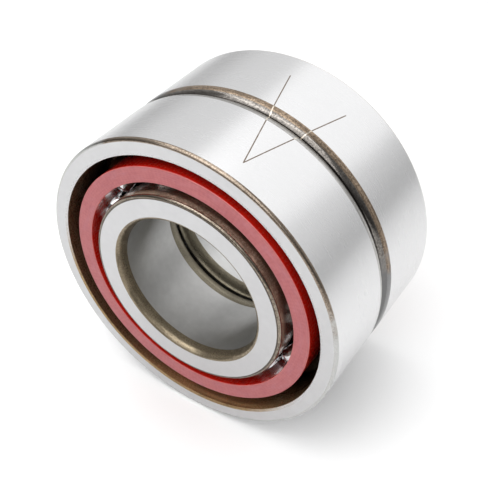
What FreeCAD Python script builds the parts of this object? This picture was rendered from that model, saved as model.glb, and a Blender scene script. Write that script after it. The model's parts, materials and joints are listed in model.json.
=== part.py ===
import FreeCAD, Part
import math
import os

# Matched pair of single-row angular contact ball bearings, back to back, with machined cages.
# +Y is the common axis, +Z is up, and the origin is on the axis in the plane where the backs meet.
# Lengths are millimetres, angles degrees. "depth" is the distance along the axis from that plane.

# Standard boundary size of each bearing
BORE_RADIUS = 12.5
OUTSIDE_RADIUS = 26.0
RING_WIDTH = 15.0

# Balls and their grooves
BALL_DIAMETER = 7.938
BALL_COUNT = 13
FIRST_BALL_ANGLE = -49.0
PITCH_RADIUS = 19.25
CONTACT_ANGLE = 25.0
OUTER_GROOVE_FACTOR = 0.525
INNER_GROOVE_FACTOR = 0.520
INNER_RING_FLOAT = 0.25

# Outer ring
OUTER_SHOULDER_RADIUS = 21.5
OUTER_SHOULDER_BEVEL = 0.35
COUNTERBORE_LIP_RADIUS = 23.19
COUNTERBORE_MOUTH_RADIUS = 23.3
COUNTERBORE_BEVEL = (0.45, 0.1)
FRONT_CORNER = (0.5, 0.55)
BACK_CORNER = (1.4, 1.75)

# Inner ring
INNER_SHOULDER_RADIUS = 17.0
SHOULDER_CORNER = (0.6, 0.45)
FRONT_BORE_CORNER = (0.84, 1.9)
BACK_BORE_CORNER = (0.84, 2.2)

# Cage, guided by the outer ring's high shoulder
CAGE_OUTER_RADIUS = 21.4
CAGE_INNER_RADIUS = 18.7
CAGE_WIDTH = 13.9
CAGE_BEVEL = 0.2
POCKET_CLEARANCE = 0.12

BALL_RADIUS = BALL_DIAMETER / 2
OUTER_GROOVE_RADIUS = OUTER_GROOVE_FACTOR * BALL_DIAMETER
INNER_GROOVE_RADIUS = INNER_GROOVE_FACTOR * BALL_DIAMETER

AXIS_POINT = FreeCAD.Vector(0, 0, 0)
AXIS_DIRECTION = FreeCAD.Vector(0, 1, 0)
FULL_TURN = 360.0


def groove_centres():
    """(radius, depth) of both groove centres with the ball loaded against its contact line."""
    angle = math.radians(CONTACT_ANGLE)
    middle = RING_WIDTH / 2
    outer_offset = OUTER_GROOVE_RADIUS - BALL_RADIUS
    inner_offset = INNER_GROOVE_RADIUS - BALL_RADIUS
    outer = (PITCH_RADIUS - outer_offset * math.cos(angle), middle + outer_offset * math.sin(angle))
    inner = (PITCH_RADIUS + inner_offset * math.cos(angle), middle - inner_offset * math.sin(angle))
    return outer, inner


def ball_centre():
    """(radius, depth) of a ball that floats midway between the grooves of the unloaded bearing."""
    outer, inner = groove_centres()
    radial = inner[0] - outer[0]
    axial = inner[1] + INNER_RING_FLOAT - outer[1]
    spread = math.hypot(radial, axial)
    outer_offset = OUTER_GROOVE_RADIUS - BALL_RADIUS
    inner_offset = INNER_GROOVE_RADIUS - BALL_RADIUS
    clearance = (outer_offset + inner_offset - spread) / 2
    share = (outer_offset - clearance) / spread
    return outer[0] + share * radial, outer[1] + share * axial


def groove_depth(centre, groove_radius, wall_radius, toward_front):
    """Depth at which a groove's circle reaches a wall of the given radius."""
    half_chord = math.sqrt(groove_radius ** 2 - (wall_radius - centre[0]) ** 2)
    return centre[1] + half_chord if toward_front else centre[1] - half_chord


class Profile:
    """A closed outline in (radius, depth), turned round the axis on one side of the middle plane."""

    def __init__(self, side, radius, depth):
        self.side = side
        self.start = self.point(radius, depth)
        self.last = (radius, depth)
        self.edges = []

    def point(self, radius, depth):
        return FreeCAD.Vector(radius, self.side * depth, 0)

    def line(self, radius, depth):
        self.edges.append(Part.makeLine(self.point(*self.last), self.point(radius, depth)))
        self.last = (radius, depth)

    def arc(self, middle, end):
        curve = Part.Arc(self.point(*self.last), self.point(*middle), self.point(*end))
        self.edges.append(curve.toShape())
        self.last = end

    def corner(self, end, centre):
        """A rounded corner, a quarter of an ellipse about centre, square to both walls."""
        middle = self.point(*centre)
        reach = self.point(*self.last)
        other = self.point(*end)
        if reach.distanceToPoint(middle) < other.distanceToPoint(middle):
            reach, other = other, reach
        self.edges.append(Part.Ellipse(reach, other, middle).toShape(0, math.pi / 2))
        self.last = end

    def turned(self):
        self.edges.append(Part.makeLine(self.point(*self.last), self.start))
        face = Part.Face(Part.Wire(self.edges))
        return face.revolve(AXIS_POINT, AXIS_DIRECTION, FULL_TURN)


def outer_ring(side):
    """Ring with a high shoulder at its back and a counterbore at its narrow front face."""
    centre, _ = groove_centres()
    back_reach, back_length = BACK_CORNER
    front_reach, front_length = FRONT_CORNER
    mouth_reach, mouth_length = COUNTERBORE_BEVEL
    shoulder_end = groove_depth(centre, OUTER_GROOVE_RADIUS, OUTER_SHOULDER_RADIUS, False)
    lip = groove_depth(centre, OUTER_GROOVE_RADIUS, COUNTERBORE_LIP_RADIUS, True)
    bottom = (centre[0] + OUTER_GROOVE_RADIUS * math.cos(math.radians(CONTACT_ANGLE)),
              centre[1] - OUTER_GROOVE_RADIUS * math.sin(math.radians(CONTACT_ANGLE)))

    outline = Profile(side, OUTER_SHOULDER_RADIUS, OUTER_SHOULDER_BEVEL)
    outline.line(OUTER_SHOULDER_RADIUS, shoulder_end)
    outline.arc(bottom, (COUNTERBORE_LIP_RADIUS, lip))
    outline.line(COUNTERBORE_MOUTH_RADIUS, RING_WIDTH - mouth_length)
    outline.line(COUNTERBORE_MOUTH_RADIUS + mouth_reach, RING_WIDTH)
    outline.line(OUTSIDE_RADIUS - front_reach, RING_WIDTH)
    outline.corner((OUTSIDE_RADIUS, RING_WIDTH - front_length),
                   (OUTSIDE_RADIUS - front_reach, RING_WIDTH - front_length))
    outline.line(OUTSIDE_RADIUS, back_length)
    outline.corner((OUTSIDE_RADIUS - back_reach, 0),
                   (OUTSIDE_RADIUS - back_reach, back_length))
    outline.line(OUTER_SHOULDER_RADIUS + OUTER_SHOULDER_BEVEL, 0)
    return outline.turned()


def inner_ring(side):
    """Ring with a shoulder each side of its groove, floating a little way out of the front."""
    _, flush_centre = groove_centres()
    centre = (flush_centre[0], flush_centre[1] + INNER_RING_FLOAT)
    back = INNER_RING_FLOAT
    front = RING_WIDTH + INNER_RING_FLOAT
    shoulder_reach, shoulder_length = SHOULDER_CORNER
    shoulder_face = INNER_SHOULDER_RADIUS - shoulder_reach
    back_edge = groove_depth(centre, INNER_GROOVE_RADIUS, INNER_SHOULDER_RADIUS, False)
    front_edge = groove_depth(centre, INNER_GROOVE_RADIUS, INNER_SHOULDER_RADIUS, True)
    front_bore_reach, front_bore_length = FRONT_BORE_CORNER
    back_bore_reach, back_bore_length = BACK_BORE_CORNER

    outline = Profile(side, BORE_RADIUS, back + back_bore_length)
    outline.corner((BORE_RADIUS + back_bore_reach, back),
                   (BORE_RADIUS + back_bore_reach, back + back_bore_length))
    outline.line(shoulder_face, back)
    outline.corner((INNER_SHOULDER_RADIUS, back + shoulder_length),
                   (shoulder_face, back + shoulder_length))
    outline.line(INNER_SHOULDER_RADIUS, back_edge)
    outline.arc((centre[0] - INNER_GROOVE_RADIUS, centre[1]), (INNER_SHOULDER_RADIUS, front_edge))
    outline.line(INNER_SHOULDER_RADIUS, front - shoulder_length)
    outline.corner((shoulder_face, front), (shoulder_face, front - shoulder_length))
    outline.line(BORE_RADIUS + front_bore_reach, front)
    outline.corner((BORE_RADIUS, front - front_bore_length),
                   (BORE_RADIUS + front_bore_reach, front - front_bore_length))
    return outline.turned()


def ball_angles():
    """Places of the balls round the axis, measured from +Z toward +X."""
    return [FIRST_BALL_ANGLE + number * FULL_TURN / BALL_COUNT for number in range(BALL_COUNT)]


def spoke(angle):
    """Unit vector straight out from the axis at an angle from +Z toward +X."""
    turn = math.radians(angle)
    return FreeCAD.Vector(math.sin(turn), 0, math.cos(turn))


def cage(side):
    """Machined ring with one round pocket drilled through to the axis for each ball."""
    _, middle = ball_centre()
    back = middle - CAGE_WIDTH / 2
    front = middle + CAGE_WIDTH / 2
    outline = Profile(side, CAGE_INNER_RADIUS + CAGE_BEVEL, back)
    outline.line(CAGE_OUTER_RADIUS - CAGE_BEVEL, back)
    outline.line(CAGE_OUTER_RADIUS, back + CAGE_BEVEL)
    outline.line(CAGE_OUTER_RADIUS, front - CAGE_BEVEL)
    outline.line(CAGE_OUTER_RADIUS - CAGE_BEVEL, front)
    outline.line(CAGE_INNER_RADIUS + CAGE_BEVEL, front)
    outline.line(CAGE_INNER_RADIUS, front - CAGE_BEVEL)
    outline.line(CAGE_INNER_RADIUS, back + CAGE_BEVEL)
    body = outline.turned()

    drill_start = BORE_RADIUS
    drill_length = OUTSIDE_RADIUS - BORE_RADIUS
    drills = []
    for angle in ball_angles():
        outward = spoke(angle)
        start = outward * drill_start + FreeCAD.Vector(0, side * middle, 0)
        radius = BALL_RADIUS + POCKET_CLEARANCE
        drills.append(Part.makeCylinder(radius, drill_length, start, outward))
    return body.cut(Part.makeCompound(drills))


def balls(side):
    """The balls of one bearing, in order round the axis."""
    radius, depth = ball_centre()
    shapes = []
    for angle in ball_angles():
        centre = spoke(angle) * radius + FreeCAD.Vector(0, side * depth, 0)
        shapes.append(Part.makeSphere(BALL_RADIUS, centre))
    return shapes


def solid_of(shape):
    """The one valid solid in a shape."""
    if len(shape.Solids) != 1 or not shape.isValid():
        raise ValueError("expected one valid solid")
    solid = shape.Solids[0]
    if solid.Volume < 0:
        solid.reverse()
    return solid


def main():
    os.makedirs("parts", exist_ok=True)
    for name, side in (("front", -1), ("rear", 1)):
        pieces = {
            f"{name}_outer_ring": outer_ring(side),
            f"{name}_inner_ring": inner_ring(side),
            f"{name}_cage": cage(side),
        }
        for number, ball in enumerate(balls(side), start=1):
            pieces[f"{name}_ball_{number:02d}"] = ball
        for node, shape in pieces.items():
            solid = solid_of(shape)
            solid.exportStep(f"parts/{node}.step")
            print(node, round(solid.Volume, 1), "mm3")


main()
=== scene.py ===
import json
import math
from collections import namedtuple

import bmesh
import bpy
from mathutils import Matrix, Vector


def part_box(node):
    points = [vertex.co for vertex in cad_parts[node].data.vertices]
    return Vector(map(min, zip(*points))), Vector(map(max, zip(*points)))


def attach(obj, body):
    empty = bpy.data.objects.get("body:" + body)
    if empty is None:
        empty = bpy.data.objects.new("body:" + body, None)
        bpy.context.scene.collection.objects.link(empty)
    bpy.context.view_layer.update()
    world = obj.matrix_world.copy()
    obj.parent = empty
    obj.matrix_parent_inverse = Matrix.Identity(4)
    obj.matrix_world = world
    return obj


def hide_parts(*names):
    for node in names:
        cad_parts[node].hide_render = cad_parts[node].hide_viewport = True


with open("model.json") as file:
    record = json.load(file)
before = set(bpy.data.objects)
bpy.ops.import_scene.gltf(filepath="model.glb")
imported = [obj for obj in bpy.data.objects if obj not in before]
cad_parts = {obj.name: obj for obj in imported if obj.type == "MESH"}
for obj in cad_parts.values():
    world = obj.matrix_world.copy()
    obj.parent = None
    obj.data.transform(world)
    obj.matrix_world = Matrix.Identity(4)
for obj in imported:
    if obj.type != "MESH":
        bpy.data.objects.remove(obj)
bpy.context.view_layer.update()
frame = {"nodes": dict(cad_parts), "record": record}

# Lengths are metres in the CAD's frame: +Y along the bearing axis, +Z up, backs meeting at Y 0.
# "depth" is the distance along the axis from the plane where the two backs meet.

MM = 0.001
SIDES = {"front": -1, "rear": 1}
FRAME_DECIMALS = 5


# ---------------------------------------------------------------- sizes read from the frame

def ring_sizes(node):
    """(largest radius, least depth, greatest depth) of a turned CAD node."""
    low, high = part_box(node)
    depths = sorted((abs(low.y), abs(high.y)))
    return (high.x - low.x) / 2, depths[0], depths[1]


def rounded_ring_sizes(node):
    """Ring sizes to the nearest 0.01 mm, which takes out the facets of the frame's meshes."""
    return tuple(round(size, FRAME_DECIMALS) for size in ring_sizes(node))


OUTSIDE_RADIUS, _, RING_WIDTH = rounded_ring_sizes("front_outer_ring")
SHOULDER_RADIUS, INNER_BACK, INNER_FRONT = rounded_ring_sizes("front_inner_ring")
CAGE_RADIUS, CAGE_BACK, CAGE_FRONT = ring_sizes("front_cage")
BORE_RADIUS = frame["record"]["mounts"][0]["dims"]["r_mm"] * MM

ball_low, ball_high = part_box("front_ball_01")
BALL_CENTRE = (ball_low + ball_high) / 2
BALL_RADIUS = (ball_high.x - ball_low.x) / 2
BALL_DEPTH = abs(BALL_CENTRE.y)
BALL_START = math.atan2(BALL_CENTRE.x, BALL_CENTRE.z)
BALL_COUNT = sum(1 for node in frame["nodes"] if node.startswith("front_ball_"))


# ---------------------------------------------------------------- node trees

# Sockets that place a point of a turned piece: its position, that position's parts, its distance
# from the bearing axis, and its angle round the axis from +Z toward +X
Place = namedtuple("Place", "position x y z radius angle")

# Tool marks: how fast they change round the axis, and how fast along the outline per metre
GRINDING_LINES = (2.2, 5200.0)
TURNING_RINGS = (1.6, 2600.0)
HONING_LINES = (2.0, 9000.0)
LAMINATE_FIBRES = (14.0, 3600.0)
LAMINATE_STREAKS = (9.0, 900.0)
# How much faster the marks change with radius than with depth, so that bevels don't repeat them
MARKS_RADIAL_SHARE = 1.37


class Tree:
    """A material's or world's node tree, with short calls for the nodes that repeat."""

    def __init__(self, tree):
        self.tree = tree
        self.tree.nodes.clear()

    def node(self, kind, **settings):
        made = self.tree.nodes.new(kind)
        for key, value in settings.items():
            setattr(made, key, value)
        return made

    def link(self, source, target):
        self.tree.links.new(source, target)

    def feed(self, socket, value):
        """Links a socket, or sets a plain number, colour or vector."""
        if isinstance(value, bpy.types.NodeSocket):
            self.link(value, socket)
        else:
            socket.default_value = value

    def math(self, operation, *values):
        made = self.node("ShaderNodeMath", operation=operation)
        for socket, value in zip(made.inputs, values):
            self.feed(socket, value)
        return made.outputs[0]

    def weighted(self, first, *others):
        """Adds up (value, weight) pairs."""
        part = self.math("MULTIPLY", *first)
        return self.math("ADD", part, self.weighted(*others)) if others else part

    def combine(self, x, y, z):
        made = self.node("ShaderNodeCombineXYZ")
        for socket, value in zip(made.inputs, (x, y, z)):
            self.feed(socket, value)
        return made.outputs[0]

    def noise(self, vector, scale, detail=2.0, roughness=0.5, distortion=0.0):
        made = self.node("ShaderNodeTexNoise")
        self.feed(made.inputs["Vector"], vector)
        made.inputs["Scale"].default_value = scale
        made.inputs["Detail"].default_value = detail
        made.inputs["Roughness"].default_value = roughness
        made.inputs["Distortion"].default_value = distortion
        return made.outputs["Fac"]

    def spread(self, value, low, high, to_low=0.0, to_high=1.0):
        """Maps a value smoothly from one range to another, clamped."""
        made = self.node("ShaderNodeMapRange", clamp=True, interpolation_type="SMOOTHSTEP")
        for socket, number in zip(made.inputs, (value, low, high, to_low, to_high)):
            self.feed(socket, number)
        return made.outputs[0]

    def blend(self, amount, first, second, mode="MIX"):
        """Mixes two colours."""
        made = self.node("ShaderNodeMix", data_type="RGBA", blend_type=mode)
        self.feed(made.inputs[0], amount)
        self.feed(made.inputs[6], first)
        self.feed(made.inputs[7], second)
        return made.outputs[2]

    def bump(self, height, strength, distance, after=None):
        made = self.node("ShaderNodeBump")
        made.inputs["Strength"].default_value = strength
        made.inputs["Distance"].default_value = distance
        self.feed(made.inputs["Height"], height)
        if after is not None:
            self.link(after, made.inputs["Normal"])
        return made.outputs[0]

    def object_position(self):
        return self.node("ShaderNodeTexCoord").outputs["Object"]

    def turned(self):
        """The Place of each point of a turned piece."""
        position = self.object_position()
        parts = self.node("ShaderNodeSeparateXYZ")
        self.link(position, parts.inputs[0])
        x, y, z = parts.outputs
        radius = self.math("SQRT", self.weighted((x, x), (z, z)))
        angle = self.math("ARCTAN2", x, z)
        return Place(position, x, y, z, radius, angle)

    def tool_marks(self, pattern, place, detail, roughness=0.5):
        """Noise drawn out round the axis in one of the patterns above."""
        round_axis, along_outline = pattern
        step = self.weighted((place.y, along_outline),
                             (place.radius, along_outline * MARKS_RADIAL_SHARE))
        round_x = self.math("MULTIPLY", self.math("DIVIDE", place.x, place.radius), round_axis)
        round_z = self.math("MULTIPLY", self.math("DIVIDE", place.z, place.radius), round_axis)
        return self.noise(self.combine(round_x, step, round_z), 1.0, detail, roughness)


def material(name, metallic, roughness):
    """A new material with its Principled shader; returns the material, its tree and the shader."""
    made = bpy.data.materials.new(name)
    made.use_nodes = True
    tree = Tree(made.node_tree)
    shader = tree.node("ShaderNodeBsdfPrincipled")
    output = tree.node("ShaderNodeOutputMaterial")
    tree.link(shader.outputs[0], output.inputs[0])
    shader.inputs["Metallic"].default_value = metallic
    shader.inputs["Roughness"].default_value = roughness
    return made, tree, shader


def add_object(name, data):
    """A new object in the scene."""
    made = bpy.data.objects.new(name, data)
    bpy.context.scene.collection.objects.link(made)
    return made


def finished_mesh(name, shell, materials):
    """A mesh made from a bmesh, which it frees, with its materials in order."""
    mesh = bpy.data.meshes.new(name)
    shell.to_mesh(mesh)
    shell.free()
    for made in materials:
        mesh.materials.append(made)
    return mesh


def opaque(colour, scale=1.0):
    """An opaque colour for a socket, with every channel scaled."""
    return (*(channel * scale for channel in colour), 1.0)


# ---------------------------------------------------------------- alignment mark

# The V's point and the far ends of its two arms, each (angle from +Z toward +X in degrees, Y)
MARK_APEX = (18.0, -11.2 * MM)
MARK_ARMS = ((28.9, 9.0 * MM), (5.8, 9.7 * MM))
MARK_HALF_WIDTH = 0.085 * MM
MARK_EDGE_SHARES = (0.6, 1.4)
MARK_ON_GROUND_STEEL = (0.15, 0.11, 0.08)
MARK_ON_SKIN = (0.60, 0.54, 0.46)
MARK_ON_SKIN_STRENGTH = 0.85


def mark_mask(tree, place):
    """1 on the two scribed lines of the V across both outer rings, 0 elsewhere."""
    arc = tree.math("MULTIPLY", place.angle, OUTSIDE_RADIUS)
    start = (math.radians(MARK_APEX[0]) * OUTSIDE_RADIUS, MARK_APEX[1])
    nearest = None
    for degrees, depth in MARK_ARMS:
        run = (math.radians(degrees) * OUTSIDE_RADIUS - start[0], depth - start[1])
        length = math.hypot(*run)
        unit = (run[0] / length, run[1] / length)
        off_arc = tree.math("SUBTRACT", arc, start[0])
        off_depth = tree.math("SUBTRACT", place.y, start[1])
        travelled = tree.weighted((off_arc, unit[0]), (off_depth, unit[1]))
        held = tree.math("MINIMUM", tree.math("MAXIMUM", travelled, 0.0), length)
        miss_arc = tree.math("SUBTRACT", off_arc, tree.math("MULTIPLY", held, unit[0]))
        miss_depth = tree.math("SUBTRACT", off_depth, tree.math("MULTIPLY", held, unit[1]))
        miss = tree.math("SQRT", tree.weighted((miss_arc, miss_arc), (miss_depth, miss_depth)))
        nearest = miss if nearest is None else tree.math("MINIMUM", nearest, miss)
    inside, outside = (MARK_HALF_WIDTH * share for share in MARK_EDGE_SHARES)
    return tree.spread(nearest, inside, outside, 1.0, 0.0)


# ---------------------------------------------------------------- materials

def ground_steel(name, roughness, base, marked=False, grain=1.0):
    """Ground bearing steel: fine grinding lines round the axis and faint cloudy patches.

    Both are scaled by grain.
    """
    made, tree, shader = material(name, 1.0, roughness)
    place = tree.turned()
    lines = tree.tool_marks(GRINDING_LINES, place, detail=3.0, roughness=0.6)
    cloud = tree.noise(place.position, scale=210.0, detail=4.0, roughness=0.55)
    patches = tree.noise(place.position, scale=900.0, detail=2.0, roughness=0.5)
    tone = tree.weighted((cloud, 0.5), (patches, 0.5))
    contrast = 0.03 * grain
    colour = tree.blend(tree.spread(tone, 0.3, 0.7),
                        opaque(base, 1 - contrast), opaque(base, 1 + contrast))
    if marked:
        wear = tree.spread(tree.noise(place.position, scale=2600.0), 0.25, 0.5, 0.75, 1.0)
        scribed = tree.math("MULTIPLY", mark_mask(tree, place), wear)
        colour = tree.blend(scribed, colour, opaque(MARK_ON_GROUND_STEEL))
    tree.link(colour, shader.inputs["Base Color"])
    blur = tree.weighted((lines, 0.10 * grain), (tone, 0.06 * grain))
    tree.link(tree.math("ADD", blur, roughness - 0.08 * grain), shader.inputs["Roughness"])
    relief = tree.bump(lines, strength=0.10 * grain, distance=0.004 * MM)
    tree.link(relief, shader.inputs["Normal"])
    return made


# How a brown skin lies round a ring, in degrees: its middle, from +Z toward +X, and how far to each
# side of that it begins to fade and ends
SKIN_OVER_TOP = (22, 47, 60)
SKIN_UNDER_BOTTOM = (-158, 45, 85)
# Low inside the counterbore: paler brown, partly skin and partly painted light where the lower wall
# faces the lamps
SKIN_AND_LIGHT_LOW_INSIDE = (168, 14, 54)
SKIN_RAGGEDNESS = 0.5
# Colour that multiplies the skin as painted shade deep inside a hollow
PAINTED_SHADE_TINT = (0.22, 0.19, 0.17)


def brown_steel(name, light, dark, roughness, metallic, marked=False, bare=None,
                skin=SKIN_OVER_TOP, painted_shade_depths=None):
    """Turned steel left with its brown heat-treatment skin: tool rings, grain and rubbed spots.

    With a bare colour, the skin lies only where skin says, and the bare colour shows beyond it.
    With painted shade depths, painted shade darkens the skin from the second depth to the first,
    deeper in the hollow.
    """
    made, tree, shader = material(name, metallic, roughness)
    place = tree.turned()
    rings = tree.tool_marks(TURNING_RINGS, place, detail=3.0, roughness=0.65)
    grain = tree.noise(place.position, scale=4000.0, detail=2.0, roughness=0.7)
    patches = tree.noise(place.position, scale=380.0, detail=3.0, roughness=0.6)
    tone = tree.weighted((rings, 0.4), (grain, 0.6), (patches, 0.2))
    colour = tree.blend(tree.spread(tone, 0.48, 0.72), opaque(dark), opaque(light))
    if bare:
        middle, fading, ended = (math.radians(degrees) for degrees in skin)
        turn = tree.math("SUBTRACT", place.angle, middle)
        away = tree.math("ARCCOSINE", tree.math("COSINE", turn))
        wander = tree.math("MULTIPLY", tree.math("SUBTRACT", patches, 0.5), SKIN_RAGGEDNESS)
        ragged = tree.math("ADD", away, wander)
        colour = tree.blend(tree.spread(ragged, fading, ended), colour, opaque(bare))
    # Painted shade: the skin darkens deeper in the hollow
    if painted_shade_depths:
        unshaded = tree.spread(tree.math("ABSOLUTE", place.y), *painted_shade_depths)
        colour = tree.blend(unshaded, tree.blend(1.0, colour, opaque(PAINTED_SHADE_TINT), "MULTIPLY"), colour)
    if marked:
        scribed = tree.math("MULTIPLY", mark_mask(tree, place), MARK_ON_SKIN_STRENGTH)
        colour = tree.blend(scribed, colour, opaque(MARK_ON_SKIN))
    tree.link(colour, shader.inputs["Base Color"])
    rough = tree.spread(tone, 0.35, 0.8, roughness + 0.1, roughness - 0.12)
    tree.link(rough, shader.inputs["Roughness"])
    relief = tree.bump(rings, strength=0.35, distance=0.02 * MM)
    relief = tree.bump(grain, strength=0.30, distance=0.015 * MM, after=relief)
    tree.link(relief, shader.inputs["Normal"])
    return made


RACEWAY_TONES = ((0.60, 0.60, 0.61), (0.68, 0.68, 0.69))
BALL_TONES = ((0.60, 0.60, 0.61), (0.70, 0.70, 0.71))


def raceway_steel():
    """Honed raceway groove."""
    made, tree, shader = material("raceway_steel", 1.0, 0.14)
    place = tree.turned()
    lines = tree.tool_marks(HONING_LINES, place, detail=2.0)
    dark, light = (opaque(colour) for colour in RACEWAY_TONES)
    tree.link(tree.blend(lines, dark, light), shader.inputs["Base Color"])
    tree.link(tree.spread(lines, 0.3, 0.7, 0.11, 0.18), shader.inputs["Roughness"])
    relief = tree.bump(lines, strength=0.05, distance=0.002 * MM)
    tree.link(relief, shader.inputs["Normal"])
    return made


def ball_steel():
    """Lapped ball: a near mirror with a faint haze of polishing scratches."""
    made, tree, shader = material("lapped_ball_steel", 1.0, 0.05)
    position = tree.object_position()
    haze = tree.noise(position, scale=700.0, detail=4.0, roughness=0.6)
    scratches = tree.noise(position, scale=6000.0, detail=2.0, roughness=0.6, distortion=3.0)
    dark, light = (opaque(colour) for colour in BALL_TONES)
    tree.link(tree.blend(haze, dark, light), shader.inputs["Base Color"])
    tree.link(tree.spread(haze, 0.3, 0.75, 0.02, 0.06), shader.inputs["Roughness"])
    relief = tree.bump(scratches, strength=0.02, distance=0.001 * MM)
    tree.link(relief, shader.inputs["Normal"])
    return made


LAYER_THICKNESS = 0.34 * MM
LAYER_WANDER = 0.35 * MM
THREAD_PITCH = 0.42 * MM
THREADS_ROUND = 190.0
COAT_ROUGHNESS = 0.16
BLOOM_TINT = (0.95, 1.25, 1.5)


def laminate(name, light, dark, roughness, coat, layers_strength):
    """Cotton-fabric laminate: layers of cloth round the axis, with the ends of its threads."""
    made, tree, shader = material(name, 0.0, roughness)
    shader.inputs["Coat Weight"].default_value = coat
    shader.inputs["Coat Roughness"].default_value = COAT_ROUGHNESS
    place = tree.turned()
    position = place.position
    wander = tree.math("MULTIPLY", tree.noise(position, scale=160.0, detail=2.0), LAYER_WANDER)
    layer_place = tree.math("ADD", place.radius, wander)
    layers = tree.math("SINE", tree.math("MULTIPLY", layer_place, 2 * math.pi / LAYER_THICKNESS))
    threads = tree.math("SINE", tree.math("MULTIPLY", place.angle, THREADS_ROUND))
    axial = tree.math("SINE", tree.math("MULTIPLY", place.y, 2 * math.pi / THREAD_PITCH))
    weave = tree.math("MULTIPLY", tree.math("ADD", threads, axial), 0.25)
    cloth = tree.math("ADD", tree.math("MULTIPLY", layers, 0.22 * layers_strength), weave)
    fibres = tree.tool_marks(LAMINATE_FIBRES, place, detail=3.0, roughness=0.7)
    speckle = tree.noise(position, scale=2300.0, detail=3.0, roughness=0.7)
    mottled = tree.noise(position, scale=260.0, detail=3.0, roughness=0.6)
    tone = tree.weighted((cloth, 0.10), (fibres, 0.4), (speckle, 0.35), (mottled, 0.3))
    colour = tree.blend(tree.spread(tone, 0.35, 0.72), opaque(dark), opaque(light))
    streaks = tree.tool_marks(LAMINATE_STREAKS, place, detail=3.0)
    bloom = tree.spread(streaks, 0.45, 0.75, 0.0, 0.35)
    pale = opaque([channel * tint for channel, tint in zip(light, BLOOM_TINT)])
    colour = tree.blend(bloom, colour, pale)
    tree.link(colour, shader.inputs["Base Color"])
    rough = tree.spread(tone, 0.35, 0.75, roughness + 0.06, roughness - 0.06)
    tree.link(rough, shader.inputs["Roughness"])
    relief = tree.bump(cloth, strength=0.25 * layers_strength, distance=0.01 * MM)
    relief = tree.bump(speckle, strength=0.2, distance=0.012 * MM, after=relief)
    tree.link(relief, shader.inputs["Normal"])
    return made


OUTSIDE_STEEL = (0.67, 0.67, 0.675)
FACE_STEEL = (0.53, 0.53, 0.535)
BORE_STEEL = (0.58, 0.58, 0.575)
EDGE_STEEL = (0.74, 0.73, 0.71)

FINISHES = {
    # Ground and honed steel
    "outside": ground_steel("ground_outside", 0.27, OUTSIDE_STEEL, marked=True, grain=0.3),
    "face": ground_steel("ground_face", 0.36, FACE_STEEL),
    "bore": ground_steel("ground_bore", 0.34, BORE_STEEL, grain=2.0),
    "edge": ground_steel("ground_edge", 0.24, EDGE_STEEL),
    "raceway": raceway_steel(),
    # Corners of the outer rings, from the palest to the darkest
    "pale": brown_steel("pale_corner", (0.44, 0.43, 0.415), (0.31, 0.30, 0.285), 0.22, 1.0,
                        marked=True),
    "grey": brown_steel("grey_corner", (0.40, 0.39, 0.375), (0.17, 0.165, 0.155), 0.22, 1.0,
                        marked=True),
    "rubbed": brown_steel("rubbed_corner", (0.34, 0.28, 0.225), (0.16, 0.125, 0.095), 0.28, 1.0,
                          bare=(0.46, 0.46, 0.45)),
    # brown and dull: brown skin over the top; the darker bare grey beyond it is partly bare steel
    # and partly painted shade of the joint round the sides and bottom
    "brown": brown_steel("brown_corner", (0.36, 0.275, 0.20), (0.13, 0.098, 0.072), 0.28, 1.0,
                         marked=True, bare=(0.20, 0.20, 0.20)),
    "dull": brown_steel("dull_corner", (0.27, 0.25, 0.23), (0.10, 0.092, 0.085), 0.20, 1.0,
                        marked=True, bare=(0.14, 0.14, 0.14)),
    # dark: painted shade, nearly black, in the crevice where the two rings' back corners meet
    "dark": brown_steel("painted_shade_corner", (0.055, 0.050, 0.045), (0.02, 0.018, 0.016), 0.30, 1.0,
                        marked=True),
    # Counterbore of the outer rings
    "mouth": brown_steel("mouth_bevel", (0.42, 0.29, 0.15), (0.20, 0.13, 0.06), 0.32, 0.8,
                         bare=FACE_STEEL, skin=SKIN_UNDER_BOTTOM),
    # counterbore: paler brown low down, partly skin and partly painted light; darker brown beyond
    # it, with painted shade deeper in
    "counterbore": brown_steel("brown_counterbore", (0.50, 0.33, 0.155), (0.17, 0.10, 0.045),
                               0.32, 0.55, bare=(0.14, 0.09, 0.048), skin=SKIN_AND_LIGHT_LOW_INSIDE,
                               painted_shade_depths=(8.5 * MM, 15.2 * MM)),
    # Inner rings
    # shoulder: painted shade darkens it deeper down, away from the face
    "shoulder": brown_steel("brown_shoulder", (0.92, 0.76, 0.58), (0.15, 0.105, 0.065), 0.27, 0.5,
                            painted_shade_depths=(13.2 * MM, 15.0 * MM)),
    "shoulder_edge": brown_steel("shoulder_edge", (0.33, 0.28, 0.225), (0.13, 0.107, 0.083),
                                 0.25, 1.0),
    "shoulder_line": brown_steel("shoulder_line", (0.13, 0.11, 0.09), (0.06, 0.05, 0.042),
                                 0.30, 1.0),
    "bore_corner": brown_steel("brown_bore_corner", (0.30, 0.245, 0.165), (0.12, 0.095, 0.062),
                               0.32, 0.7),
    "back_bore_corner": brown_steel("olive_bore_corner", (0.235, 0.21, 0.155),
                                    (0.165, 0.145, 0.105), 0.36, 0.9),
    # Cages
    "laminate_face": laminate("laminate_cut_face", (0.44, 0.120, 0.125), (0.345, 0.080, 0.088),
                              0.50, 0.0, 1.0),
    "laminate_side": laminate("laminate_side", (0.72, 0.018, 0.008), (0.42, 0.007, 0.004),
                              0.26, 0.5, 0.3),
    # laminate_edge: cut laminate on the cage's chamfers, painted paler pink as a highlight line
    # along its edges
    "laminate_edge": laminate("laminate_edge", (0.66, 0.17, 0.155), (0.50, 0.10, 0.09),
                              0.33, 0.3, 0.5),
}
BALL_STEEL = ball_steel()


# ---------------------------------------------------------------- turned pieces

LATHE_STEPS = 360
EDGE_STEPS = 4
CORNER_STEPS = 14
SHOULDER_CORNER_STEPS = 12
CAGE_BEVEL_STEPS = 6
GROOVE_STEPS = 28
EDGE_BREAK = (0.07 * MM, 0.07 * MM)
FACE_AREA_WEIGHT = 100


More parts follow.
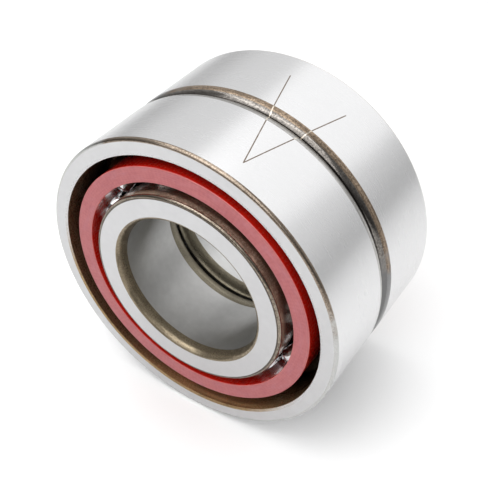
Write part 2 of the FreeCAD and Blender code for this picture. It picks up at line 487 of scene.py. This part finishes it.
class Outline:
    """A closed outline in (radius, depth): rounded corners and grooves, each with its finish."""

    def __init__(self):
        self.stations = []

    def corner(self, radius, depth, wall, reach=EDGE_BREAK, finish="edge", steps=EDGE_STEPS):
        """A corner, rounded over reach before and after it, and the finish of the wall after it.

        Its own finishes, named in order in finish, take equal parts of it.
        """
        self.stations.append(("corner", (radius, depth), wall, reach, finish.split(), steps))

    def groove(self, centre, radius, start, end, wall):
        """A round groove about centre, from angle start to end, and the wall after it."""
        self.stations.append(("groove", centre, wall, radius, (start, end), GROOVE_STEPS))

    def ends(self, index):
        """The places where a station begins and ends, before any rounding."""
        kind, place, _, size, angles, _ = self.stations[index % len(self.stations)]
        if kind == "corner":
            return place, place
        return tuple((place[0] + size * math.cos(a), place[1] + size * math.sin(a)) for a in angles)

    def trace(self):
        """Points of the outline, and the finish between each point and the next."""
        points = []
        finishes = []
        for index, (kind, place, wall, size, extra, steps) in enumerate(self.stations):
            if kind == "groove":
                start, end = extra
                for step in range(steps + 1):
                    turn = start + (end - start) * step / steps
                    points.append((place[0] + size * math.cos(turn),
                                   place[1] + size * math.sin(turn)))
                    finishes.append("raceway")
            else:
                before = Vector(place) - Vector(self.ends(index - 1)[1])
                after = Vector(self.ends(index + 1)[0]) - Vector(place)
                before.normalize()
                after.normalize()
                for step in range(steps + 1):
                    turn = math.pi / 2 * step / steps
                    point = (Vector(place) - before * size[0] * (1 - math.sin(turn))
                             + after * size[1] * (1 - math.cos(turn)))
                    points.append(tuple(point))
                    finishes.append(extra[min(len(extra) - 1, step * len(extra) // steps)])
            finishes[-1] = wall
        return points, finishes


def lathe(name, outline, side):
    """Turns an outline round the axis into a mesh with one material for each finish."""
    points, finishes = outline.trace()
    names = sorted(set(finishes))
    shell = bmesh.new()
    rings = []
    for step in range(LATHE_STEPS):
        turn = 2 * math.pi * step / LATHE_STEPS
        sine, cosine = math.sin(turn), math.cos(turn)
        rings.append([shell.verts.new((radius * sine, side * depth, radius * cosine))
                      for radius, depth in points])
    for step in range(LATHE_STEPS):
        here = rings[step]
        following = rings[(step + 1) % LATHE_STEPS]
        for index, finish in enumerate(finishes):
            after = (index + 1) % len(points)
            face = shell.faces.new((here[index], here[after], following[after], following[index]))
            face.material_index = names.index(finish)
            face.smooth = True
    bmesh.ops.recalc_face_normals(shell, faces=shell.faces)
    return add_object(name, finished_mesh(name, shell, [FINISHES[finish] for finish in names]))


def weigh_normals(piece):
    """Lets the wide faces set the shading, so that flat ground faces look flat at their edges."""
    shading = piece.modifiers.new("shading", "WEIGHTED_NORMAL")
    shading.mode = "FACE_AREA"
    shading.weight = FACE_AREA_WEIGHT
    shading.keep_sharp = True


def install(piece, node):
    """Puts a finished piece in place of its CAD node."""
    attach(piece, node)
    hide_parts(node)


# Outer ring
OUTER_SHOULDER_RADIUS = 21.5 * MM
OUTER_SHOULDER_BEVEL = (0.35 * MM, 0.35 * MM)
COUNTERBORE_LIP_RADIUS = 23.19 * MM
COUNTERBORE_MOUTH_RADIUS = 23.3 * MM
COUNTERBORE_BEVEL = (0.45 * MM, 0.1 * MM)
BEVEL_EDGE = (0.04 * MM, 0.04 * MM)
FRONT_CORNER = (0.5 * MM, 0.55 * MM)
BACK_CORNER = (1.75 * MM, 1.4 * MM)
FRONT_CORNER_FINISH = {-1: "rubbed", 1: "edge"}
# The last part of each back corner, dark, is painted shade in the crevice between the rings
BACK_CORNER_FINISH = {-1: "pale grey dark", 1: "brown dull dark"}

# Grooves
BALL_DIAMETER = 2 * BALL_RADIUS
OUTER_GROOVE_RADIUS = 0.525 * BALL_DIAMETER
INNER_GROOVE_RADIUS = 0.520 * BALL_DIAMETER
PITCH_RADIUS = 19.25 * MM
CONTACT_ANGLE = math.radians(25.0)

# Inner ring
SHOULDER_CORNER_FRONT = (0.45 * MM, 0.6 * MM)
SHOULDER_CORNER_BACK = (0.6 * MM, 0.45 * MM)
SHOULDER_TO_FACE = "shoulder_edge shoulder_edge shoulder_edge shoulder_line"
FACE_TO_SHOULDER = "shoulder_line shoulder_edge shoulder_edge shoulder_edge"
FRONT_BORE_CORNER = (0.84 * MM, 1.9 * MM)
BACK_BORE_CORNER = (2.2 * MM, 0.84 * MM)


def groove_centre(groove_radius, toward):
    """(radius, depth) of a groove's centre; toward is -1 for an outer ring and 1 for an inner."""
    offset = groove_radius - BALL_RADIUS
    return (PITCH_RADIUS + toward * offset * math.cos(CONTACT_ANGLE),
            RING_WIDTH / 2 - toward * offset * math.sin(CONTACT_ANGLE))


def groove_angle(centre, groove_radius, wall_radius):
    """Angle, from straight out, at which a groove's circle meets a wall of the given radius."""
    return math.acos((wall_radius - centre[0]) / groove_radius)


def outer_ring(name, side):
    """Outer ring: ground outside and faces, brown corners and counterbore, honed groove."""
    centre = groove_centre(OUTER_GROOVE_RADIUS, -1)
    shoulder_turn = groove_angle(centre, OUTER_GROOVE_RADIUS, OUTER_SHOULDER_RADIUS)
    lip_turn = groove_angle(centre, OUTER_GROOVE_RADIUS, COUNTERBORE_LIP_RADIUS)
    mouth_reach, mouth_length = COUNTERBORE_BEVEL
    outline = Outline()
    outline.corner(OUTER_SHOULDER_RADIUS, 0, "bore", OUTER_SHOULDER_BEVEL, "dull")
    outline.groove(centre, OUTER_GROOVE_RADIUS, -shoulder_turn, lip_turn, "counterbore")
    outline.corner(COUNTERBORE_MOUTH_RADIUS, RING_WIDTH - mouth_length, "mouth",
                   BEVEL_EDGE, "counterbore")
    outline.corner(COUNTERBORE_MOUTH_RADIUS + mouth_reach, RING_WIDTH, "face",
                   BEVEL_EDGE, "mouth")
    outline.corner(OUTSIDE_RADIUS, RING_WIDTH, "outside",
                   FRONT_CORNER, FRONT_CORNER_FINISH[side], CORNER_STEPS)
    outline.corner(OUTSIDE_RADIUS, 0, "face",
                   BACK_CORNER, BACK_CORNER_FINISH[side], CORNER_STEPS)
    return lathe(name, outline, side)


def inner_ring(name, side):
    """Inner ring: ground bore and faces, brown shoulders and bore corners, honed groove."""
    flush = groove_centre(INNER_GROOVE_RADIUS, 1)
    centre = (flush[0], flush[1] + INNER_BACK)
    half_turn = groove_angle(centre, INNER_GROOVE_RADIUS, SHOULDER_RADIUS)
    outline = Outline()
    outline.corner(BORE_RADIUS, INNER_BACK, "face",
                   BACK_BORE_CORNER, "back_bore_corner", CORNER_STEPS)
    outline.corner(SHOULDER_RADIUS, INNER_BACK, "shoulder",
                   SHOULDER_CORNER_BACK, FACE_TO_SHOULDER, SHOULDER_CORNER_STEPS)
    outline.groove(centre, INNER_GROOVE_RADIUS, -half_turn, half_turn - 2 * math.pi, "shoulder")
    outline.corner(SHOULDER_RADIUS, INNER_FRONT, "face",
                   SHOULDER_CORNER_FRONT, SHOULDER_TO_FACE, SHOULDER_CORNER_STEPS)
    outline.corner(BORE_RADIUS, INNER_FRONT, "bore",
                   FRONT_BORE_CORNER, "bore_corner", CORNER_STEPS)
    return lathe(name, outline, side)


# ---------------------------------------------------------------- cage

CAGE_INNER_RADIUS = 18.7 * MM
CAGE_BEVEL = 0.2 * MM
POCKET_CLEARANCE = 0.12 * MM
POCKET_STEPS = 72
POCKET_EDGE = 0.1 * MM
POCKET_EDGE_SEGMENTS = 2
POCKET_EDGE_ANGLE = math.radians(50)
# The middle of each cage bevel carries the painted highlight
BEVEL_TO_FACE = "laminate_side laminate_edge laminate_face"
BEVEL_TO_SIDE = "laminate_face laminate_edge laminate_side"


def pocket_drills(side):
    """All the drills of a cage, each a closed cylinder straight out through a ball's centre."""
    shell = bmesh.new()
    middle = (CAGE_INNER_RADIUS + CAGE_RADIUS) / 2
    radius = BALL_RADIUS + POCKET_CLEARANCE
    for number in range(BALL_COUNT):
        turn = BALL_START + 2 * math.pi * number / BALL_COUNT
        outward = Vector((math.sin(turn), 0, math.cos(turn)))
        placed = outward.to_track_quat("Z", "Y").to_matrix().to_4x4()
        placed.translation = outward * middle + Vector((0, side * BALL_DEPTH, 0))
        bmesh.ops.create_cone(shell, cap_ends=True, segments=POCKET_STEPS, radius1=radius,
                              radius2=radius, depth=2 * (CAGE_RADIUS - CAGE_INNER_RADIUS),
                              matrix=placed)
    mesh = finished_mesh("pocket_drills", shell, [FINISHES["laminate_side"]])
    return add_object("pocket_drills", mesh)


def apply_modifiers(piece):
    """Makes a piece's modified shape its own mesh."""
    view = bpy.context.evaluated_depsgraph_get()
    shaped = bpy.data.meshes.new_from_object(piece.evaluated_get(view))
    piece.modifiers.clear()
    piece.data = shaped


def cage(name, side):
    """Machined laminate cage: matte cut faces, glossy sides, softened edges round each pocket."""
    bevel = (CAGE_BEVEL, CAGE_BEVEL)
    outline = Outline()
    outline.corner(CAGE_INNER_RADIUS, CAGE_BACK, "laminate_face",
                   bevel, BEVEL_TO_FACE, CAGE_BEVEL_STEPS)
    outline.corner(CAGE_RADIUS, CAGE_BACK, "laminate_side",
                   bevel, BEVEL_TO_SIDE, CAGE_BEVEL_STEPS)
    outline.corner(CAGE_RADIUS, CAGE_FRONT, "laminate_face",
                   bevel, BEVEL_TO_FACE, CAGE_BEVEL_STEPS)
    outline.corner(CAGE_INNER_RADIUS, CAGE_FRONT, "laminate_side",
                   bevel, BEVEL_TO_SIDE, CAGE_BEVEL_STEPS)
    piece = lathe(name, outline, side)
    drills = pocket_drills(side)
    cut = piece.modifiers.new("pockets", "BOOLEAN")
    cut.operation = "DIFFERENCE"
    cut.solver = "EXACT"
    cut.material_mode = "TRANSFER"
    cut.object = drills
    soften = piece.modifiers.new("pocket_edges", "BEVEL")
    soften.width = POCKET_EDGE
    soften.segments = POCKET_EDGE_SEGMENTS
    soften.limit_method = "ANGLE"
    soften.angle_limit = POCKET_EDGE_ANGLE
    apply_modifiers(piece)
    bpy.data.objects.remove(drills)
    return piece


# ---------------------------------------------------------------- build the pair

TURNED_PIECES = (
    ("outer_ring", outer_ring, "ring_steel"),
    ("inner_ring", inner_ring, "ring_steel"),
    ("cage", cage, "cage_laminate"),
)

for side_name, side in SIDES.items():
    for kind, make, slot in TURNED_PIECES:
        node = f"{side_name}_{kind}"
        piece = make(f"{node}_finished", side)
        weigh_normals(piece)
        install(piece, node)
    for number in range(1, BALL_COUNT + 1):
        ball = frame["nodes"][f"{side_name}_ball_{number:02d}"]
        ball.material_slots[0].material = BALL_STEEL


# ---------------------------------------------------------------- floor, light, camera

FLOOR_RADIUS = 2.5
FLOOR_STEPS = 96
FLOOR_ROUGHNESS = 0.75
FLOOR_SPECULAR = 0.15
FLOOR_TONES = ((0.94, 0.94, 0.94), (0.96, 0.96, 0.96))


def floor():
    """A plain pale floor under the bearing."""
    shell = bmesh.new()
    bmesh.ops.create_circle(shell, cap_ends=True, segments=FLOOR_STEPS, radius=FLOOR_RADIUS)
    made, tree, shader = material("pale_floor", 0.0, FLOOR_ROUGHNESS)
    shader.inputs["Specular IOR Level"].default_value = FLOOR_SPECULAR
    tone = tree.noise(tree.object_position(), scale=14.0, detail=3.0)
    dark, light = (opaque(colour) for colour in FLOOR_TONES)
    tree.link(tree.blend(tone, dark, light), shader.inputs["Base Color"])
    plane = add_object("floor", finished_mesh("floor", shell, [made]))
    plane.location = (0, 0, -OUTSIDE_RADIUS)


# Each studio light: name, direction from the bearing, distance, width and height, and the radiance
# that its face shows
SOFTBOXES = (
    ("back_softbox", (0.14, 0.70, 0.69), 0.45, (0.44, 0.38), 0.46),
    ("front_softbox", (-0.05, -0.66, 0.75), 0.32, (0.44, 0.32), 1.7),
    ("top_softbox", (-0.17, -0.10, 0.97), 0.30, (0.34, 0.30), 2.0),
)


def softbox(name, direction, distance, size, radiance):
    """A rectangular studio light facing the bearing."""
    width, height = size
    data = bpy.data.lights.new(name, "AREA")
    data.shape = "RECTANGLE"
    data.size = width
    data.size_y = height
    data.energy = radiance * math.pi * width * height
    lamp = add_object(name, data)
    away = Vector(direction).normalized()
    lamp.location = away * distance
    lamp.visible_camera = False
    lamp.rotation_mode = "QUATERNION"
    lamp.rotation_quaternion = away.to_track_quat("Z", "Y")


# The room's brightness against the height of the direction looked in, each as (low height, high
# height, brightness at the low one, brightness at the high one)
ROOM_BEHIND = (0.0, 0.35, 0.58, 0.92)
ROOM_IN_FRONT = (0.05, 0.6, 0.08, 0.34)
ROOM_OVERHEAD_DIMMING = (0.78, 0.95, 1.0, 0.35)
# How far forward and back the front and the back of the room blend into each other
ROOM_FRONT_TO_BACK = (-0.35, 0.35)
WHITE = (1.0, 1.0, 1.0, 1.0)


def studio_world():
    """A soft dim room: palest behind the bearing, darker in front of it and overhead."""
    world = bpy.data.worlds.new("studio")
    world.use_nodes = True
    bpy.context.scene.world = world
    tree = Tree(world.node_tree)
    direction = tree.node("ShaderNodeTexCoord").outputs["Generated"]
    parts = tree.node("ShaderNodeSeparateXYZ")
    tree.link(direction, parts.inputs[0])
    _, back, height = parts.outputs
    behind = tree.spread(height, *ROOM_BEHIND)
    in_front = tree.spread(height, *ROOM_IN_FRONT)
    backness = tree.spread(back, *ROOM_FRONT_TO_BACK)
    around = tree.weighted((behind, backness), (in_front, tree.math("SUBTRACT", 1.0, backness)))
    dimming = tree.spread(height, *ROOM_OVERHEAD_DIMMING)
    background = tree.node("ShaderNodeBackground")
    background.inputs[0].default_value = WHITE
    tree.link(tree.math("MULTIPLY", around, dimming), background.inputs[1])
    output = tree.node("ShaderNodeOutputWorld")
    tree.link(background.outputs[0], output.inputs[0])


CAMERA_PLACE = (58.80 * MM, -88.37 * MM, 90.92 * MM)
CAMERA_FORWARD = (-0.41411, 0.63064, -0.65636)
CAMERA_LENS = 63.56
CAMERA_SENSOR_WIDTH = 36.0
CAMERA_CLIPPING = (0.01, 20.0)


def camera():
    """The photo's view: turned 33 degrees round from the front face, 41 degrees up."""
    data = bpy.data.cameras.new("camera")
    data.lens = CAMERA_LENS
    data.sensor_width = CAMERA_SENSOR_WIDTH
    data.clip_start, data.clip_end = CAMERA_CLIPPING
    view = add_object("camera", data)
    view.location = CAMERA_PLACE
    view.rotation_mode = "QUATERNION"
    view.rotation_quaternion = Vector(CAMERA_FORWARD).to_track_quat("-Z", "Y")
    bpy.context.scene.camera = view


floor()
studio_world()
for light in SOFTBOXES:
    softbox(*light)
camera()
bpy.context.scene.view_settings.view_transform = "Standard"
